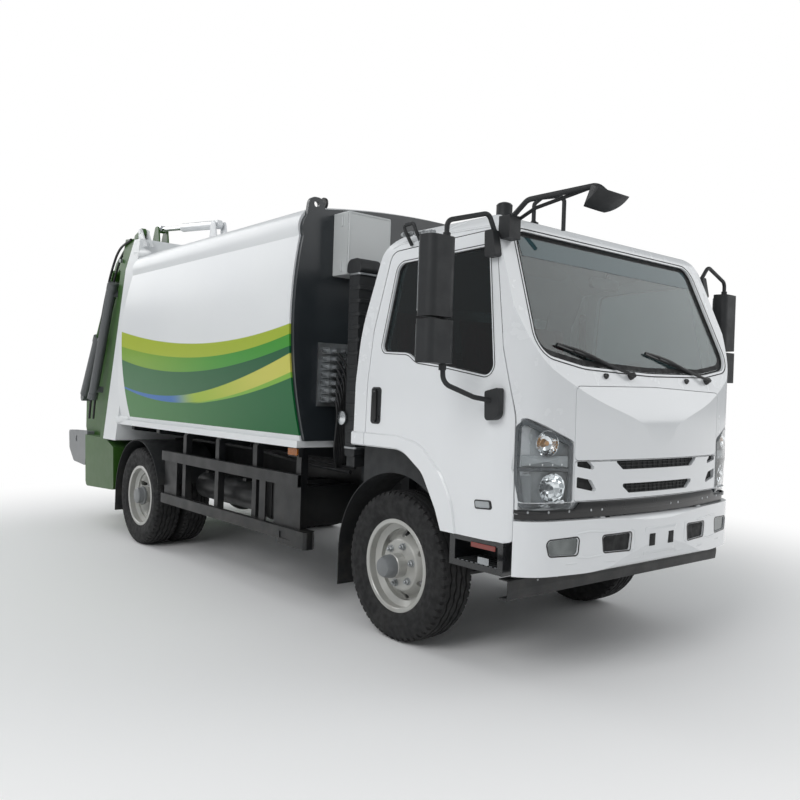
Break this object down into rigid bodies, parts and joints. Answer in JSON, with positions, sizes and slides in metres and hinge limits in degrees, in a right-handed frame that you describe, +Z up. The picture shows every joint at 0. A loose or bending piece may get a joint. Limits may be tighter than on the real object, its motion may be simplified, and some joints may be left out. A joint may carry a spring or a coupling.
{
  "type": "garbage truck",
  "caption": "Rear-loading garbage truck with tilting cab, twin rear wheels, ribbed load body, lifting tailgate with packer blade and bin lifter.",
  "frame": {"origin": "Centre of the bounding box in plan, on the ground under the wheels.", "axes": "+X forward along the truck, +Y to the driver's left, +Z up."},
  "size_m": [6.6734, 2.7852, 2.8689],
  "materials": {
    "cab_paint": "gloss white paint",
    "body_paint": "gloss white paint under the coloured bands",
    "tail_paint": "gloss mid-green paint",
    "frame_paint": "satin charcoal chassis paint",
    "galvanised": "satin grey paint",
    "box_paint": "satin light grey paint",
    "tank_paint": "satin black paint",
    "cylinder_paint": "satin grey paint",
    "rim_paint": "silver-white wheel paint",
    "bright_steel": "bright ground steel",
    "cast_metal": "cast iron",
    "dark_plastic": "grained black plastic",
    "interior_plastic": "grained dark grey plastic",
    "lamp_lens": "clear moulded lens",
    "glass": "lightly tinted glass",
    "seat_cloth": "dark red woven cloth",
    "tyre_rubber": "black tyre rubber"
  },
  "bodies": {
    "chassis": {"chassis_frame": "frame_paint", "front_axle": "frame_paint", "rear_axle": "frame_paint", "leaf_springs": "frame_paint", "engine_block": "cast_metal", "rail_tanks": "tank_paint", "front_bumper": "cab_paint", "fog_lamps": "lamp_lens", "underrun_guard": "frame_paint", "side_guards": "frame_paint", "front_mudguards": "dark_plastic", "rear_mudguards": "dark_plastic", "load_body": "body_paint", "front_bulkhead": "frame_paint", "electrical_box": "box_paint", "valve_bank": "bright_steel", "intake_duct": "dark_plastic", "rear_frame": "body_paint"},
    "cab": {"cab_shell": "cab_paint", "front_panel": "cab_paint", "grille": "cab_paint", "front_strip": "dark_plastic", "headlamps": "lamp_lens", "cab_glass": "glass", "dashboard": "interior_plastic", "seats": "seat_cloth", "roof_mirror": "dark_plastic", "wipers": "dark_plastic"},
    "steering_wheel": {"steering_wheel": "dark_plastic"},
    "door_left": {"door_left": "cab_paint", "door_glass_left": "glass", "mirrors_left": "dark_plastic"},
    "door_right": {"door_right": "cab_paint", "door_glass_right": "glass", "mirrors_right": "dark_plastic"},
    "knuckle_left": {"knuckle_left": "frame_paint"},
    "knuckle_right": {"knuckle_right": "frame_paint"},
    "front_wheel_left": {"front_tyre_left": "tyre_rubber", "front_rim_left": "rim_paint"},
    "front_wheel_right": {"front_tyre_right": "tyre_rubber", "front_rim_right": "rim_paint"},
    "rear_wheels_left": {"rear_tyres_left": "tyre_rubber", "rear_rims_left": "rim_paint"},
    "rear_wheels_right": {"rear_tyres_right": "tyre_rubber", "rear_rims_right": "rim_paint"},
    "tailgate": {"tailgate_shell": "tail_paint", "tailgate_posts": "tail_paint", "packer_cylinders": "cylinder_paint", "lifter_brackets": "galvanised", "rear_lamps": "lamp_lens"},
    "lift_barrel_left": {"lift_barrel_left": "cylinder_paint"},
    "lift_barrel_right": {"lift_barrel_right": "cylinder_paint"},
    "lift_rod_left": {"lift_rod_left": "bright_steel"},
    "lift_rod_right": {"lift_rod_right": "bright_steel"},
    "packer_slide": {"packer_slide": "tail_paint"},
    "packer_blade": {"packer_blade": "tail_paint"},
    "bin_lifter": {"bin_lifter": "galvanised"},
    "push_plate": {"push_plate": "body_paint"}
  },
  "joints": [
    {"name": "cab_tilt", "type": "hinge", "parent": "chassis", "child": "cab", "pos_m": [3.0265, 0, 0.79], "axis": [0, 1, 0], "range_deg": [0, 45]},
    {"name": "steering_turn", "type": "hinge", "parent": "cab", "child": "steering_wheel", "pos_m": [2.5415, 0.43, 1.4], "axis": [-0.8804, 0, 0.4742], "range_deg": [-528, 528]},
    {"name": "door_left_swing", "type": "hinge", "parent": "cab", "child": "door_left", "pos_m": [2.8775, 0.966, 1.4], "axis": [0, 0, -1], "range_deg": [0, 65]},
    {"name": "door_right_swing", "type": "hinge", "parent": "cab", "child": "door_right", "pos_m": [2.8775, -0.966, 1.4], "axis": [0, 0, 1], "range_deg": [0, 65]},
    {"name": "steer_left", "type": "hinge", "parent": "chassis", "child": "knuckle_left", "pos_m": [1.9815, 0.69, 0.42], "axis": [0, 0, 1], "range_deg": [-33, 33]},
    {"name": "steer_right", "type": "hinge", "parent": "chassis", "child": "knuckle_right", "pos_m": [1.9815, -0.69, 0.42], "axis": [0, 0, 1], "range_deg": [-33, 33]},
    {"name": "front_wheel_left_spin", "type": "hinge", "parent": "knuckle_left", "child": "front_wheel_left", "pos_m": [1.9815, 0.8, 0.42], "axis": [0, 1, 0], "continuous": true},
    {"name": "front_wheel_right_spin", "type": "hinge", "parent": "knuckle_right", "child": "front_wheel_right", "pos_m": [1.9815, -0.8, 0.42], "axis": [0, 1, 0], "continuous": true},
    {"name": "rear_wheels_left_spin", "type": "hinge", "parent": "chassis", "child": "rear_wheels_left", "pos_m": [-1.3835, 0.8, 0.42], "axis": [0, 1, 0], "continuous": true},
    {"name": "rear_wheels_right_spin", "type": "hinge", "parent": "chassis", "child": "rear_wheels_right", "pos_m": [-1.3835, -0.8, 0.42], "axis": [0, 1, 0], "continuous": true},
    {"name": "tailgate_lift", "type": "hinge", "parent": "chassis", "child": "tailgate", "pos_m": [-1.5185, 0, 2.745], "axis": [0, 1, 0], "range_deg": [0, 78]},
    {"name": "lift_barrel_left_swing", "type": "hinge", "parent": "chassis", "child": "lift_barrel_left", "pos_m": [-0.5785, 0.76, 2.72], "axis": [0, 1, 0], "range_deg": [0, 10.35]},
    {"name": "lift_rod_left_slide", "type": "slide", "parent": "lift_barrel_left", "child": "lift_rod_left", "axis": [-0.995, 0, 0.1004], "range_m": [-0.201, 0]},
    {"name": "lift_barrel_right_swing", "type": "hinge", "parent": "chassis", "child": "lift_barrel_right", "pos_m": [-0.5785, -0.76, 2.72], "axis": [0, 1, 0], "range_deg": [0, 10.35]},
    {"name": "lift_rod_right_slide", "type": "slide", "parent": "lift_barrel_right", "child": "lift_rod_right", "axis": [-0.995, 0, 0.1004], "range_m": [-0.201, 0]},
    {"name": "packer_slide_travel", "type": "slide", "parent": "tailgate", "child": "packer_slide", "axis": [0.53, 0, 0.848], "range_m": [-0.56, 0]},
    {"name": "packer_blade_swing", "type": "hinge", "parent": "packer_slide", "child": "packer_blade", "pos_m": [-2.3485, 0, 1.76], "axis": [0, 1, 0], "range_deg": [0, 74]},
    {"name": "bin_lifter_tip", "type": "hinge", "parent": "tailgate", "child": "bin_lifter", "pos_m": [-3.0935, 0, 0.812], "axis": [0, 1, 0], "range_deg": [0, 100]},
    {"name": "push_plate_travel", "type": "slide", "parent": "chassis", "child": "push_plate", "axis": [-1, 0, 0], "range_m": [0, 2.45]}
  ],
  "couplings": [
    {"joint": "steer_right", "follows": "steer_left", "ratio": 1},
    {"joint": "steering_turn", "follows": "steer_left", "ratio": 16},
    {"joint": "lift_barrel_left_swing", "follows": "tailgate_lift", "ratio": 0.1326},
    {"joint": "lift_barrel_right_swing", "follows": "tailgate_lift", "ratio": 0.1326},
    {"joint": "lift_rod_left_slide", "follows": "tailgate_lift", "m_per_rad": -0.1476},
    {"joint": "lift_rod_right_slide", "follows": "tailgate_lift", "m_per_rad": -0.1476}
  ]
}
